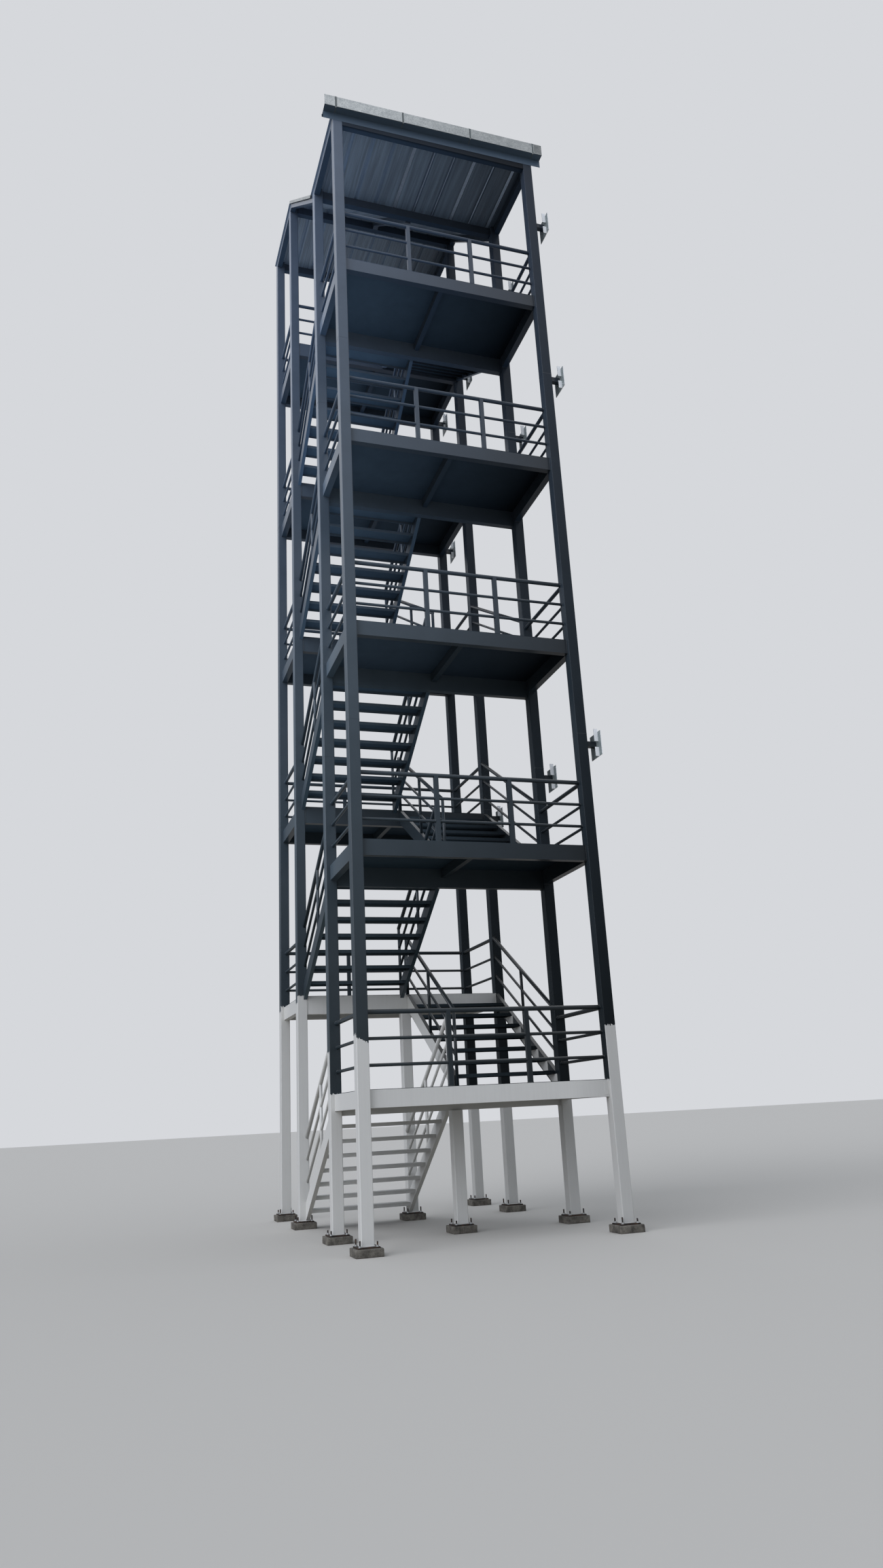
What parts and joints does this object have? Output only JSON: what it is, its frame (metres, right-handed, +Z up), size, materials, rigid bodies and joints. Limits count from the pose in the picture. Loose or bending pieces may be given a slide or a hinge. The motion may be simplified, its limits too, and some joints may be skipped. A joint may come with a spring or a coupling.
{
  "type": "fire escape stair tower",
  "caption": "Open steel fire escape stair tower with switchback flights, landings with three-rail guards and a stepped sheet roof",
  "frame": {"origin": "on the ground, at the centre of the underside of the front left footing", "axes": "+Z up, +X along the front towards the building wall, +Y from the front to the rear"},
  "size_m": [3.912, 6.01, 19.86],
  "materials": {
    "dark_grey_paint": "satin dark slate grey paint on steel tube",
    "white_paint": "dull white primer on steel",
    "base_plate_paint": "dark steel plate",
    "deck_paint": "dark paint on deck plate",
    "tread_paint": "dark paint on folded tread plate",
    "railing_paint": "dark grey paint on round pipe",
    "galvanised_steel": "bare galvanised sheet with spangle",
    "concrete": "rough cast concrete",
    "roof_sheet": "ribbed steel sheet"
  },
  "bodies": {
    "root": {"column_front_left": "dark_grey_paint", "column_front_right": "dark_grey_paint", "column_mid_front_left": "dark_grey_paint", "column_mid_front_right": "dark_grey_paint", "column_mid_rear_left": "dark_grey_paint", "column_mid_rear_right": "dark_grey_paint", "column_rear_left": "dark_grey_paint", "column_rear_right": "dark_grey_paint", "middle_posts": "white_paint", "footings": "concrete", "base_plates": "base_plate_paint", "front_landing_beams": "dark_grey_paint", "rear_landing_beams": "dark_grey_paint", "landing_joists": "dark_grey_paint", "front_decks": "deck_paint", "rear_decks": "deck_paint", "left_flight_1_stringers": "white_paint", "left_flight_1_treads": "white_paint", "right_flight_1_stringers": "dark_grey_paint", "right_flight_1_treads": "tread_paint", "left_flight_2_stringers": "dark_grey_paint", "left_flight_2_treads": "tread_paint", "right_flight_2_stringers": "dark_grey_paint", "right_flight_2_treads": "tread_paint", "left_flight_3_stringers": "dark_grey_paint", "left_flight_3_treads": "tread_paint", "right_flight_3_stringers": "dark_grey_paint", "right_flight_3_treads": "tread_paint", "left_flight_4_stringers": "dark_grey_paint", "left_flight_4_treads": "tread_paint", "right_flight_4_stringers": "dark_grey_paint", "right_flight_4_treads": "tread_paint", "left_flight_5_stringers": "dark_grey_paint", "left_flight_5_treads": "tread_paint", "right_flight_5_stringers": "dark_grey_paint", "right_flight_5_treads": "tread_paint", "front_railings": "railing_paint", "rear_railings": "railing_paint", "left_side_railings": "railing_paint", "right_side_railings": "railing_paint", "left_flight_outer_railings": "railing_paint", "left_flight_inner_railings": "railing_paint", "right_flight_outer_railings": "railing_paint", "right_flight_inner_railings": "railing_paint", "top_guard": "railing_paint", "roof_beams": "dark_grey_paint", "roof_rafters": "dark_grey_paint", "front_roof_sheet": "roof_sheet", "sloping_roof_sheet": "roof_sheet", "rear_roof_sheet": "roof_sheet", "roof_gutter": "galvanised_steel", "tie_stubs": "dark_grey_paint", "wall_plates": "galvanised_steel"}
  },
  "joints": []
}
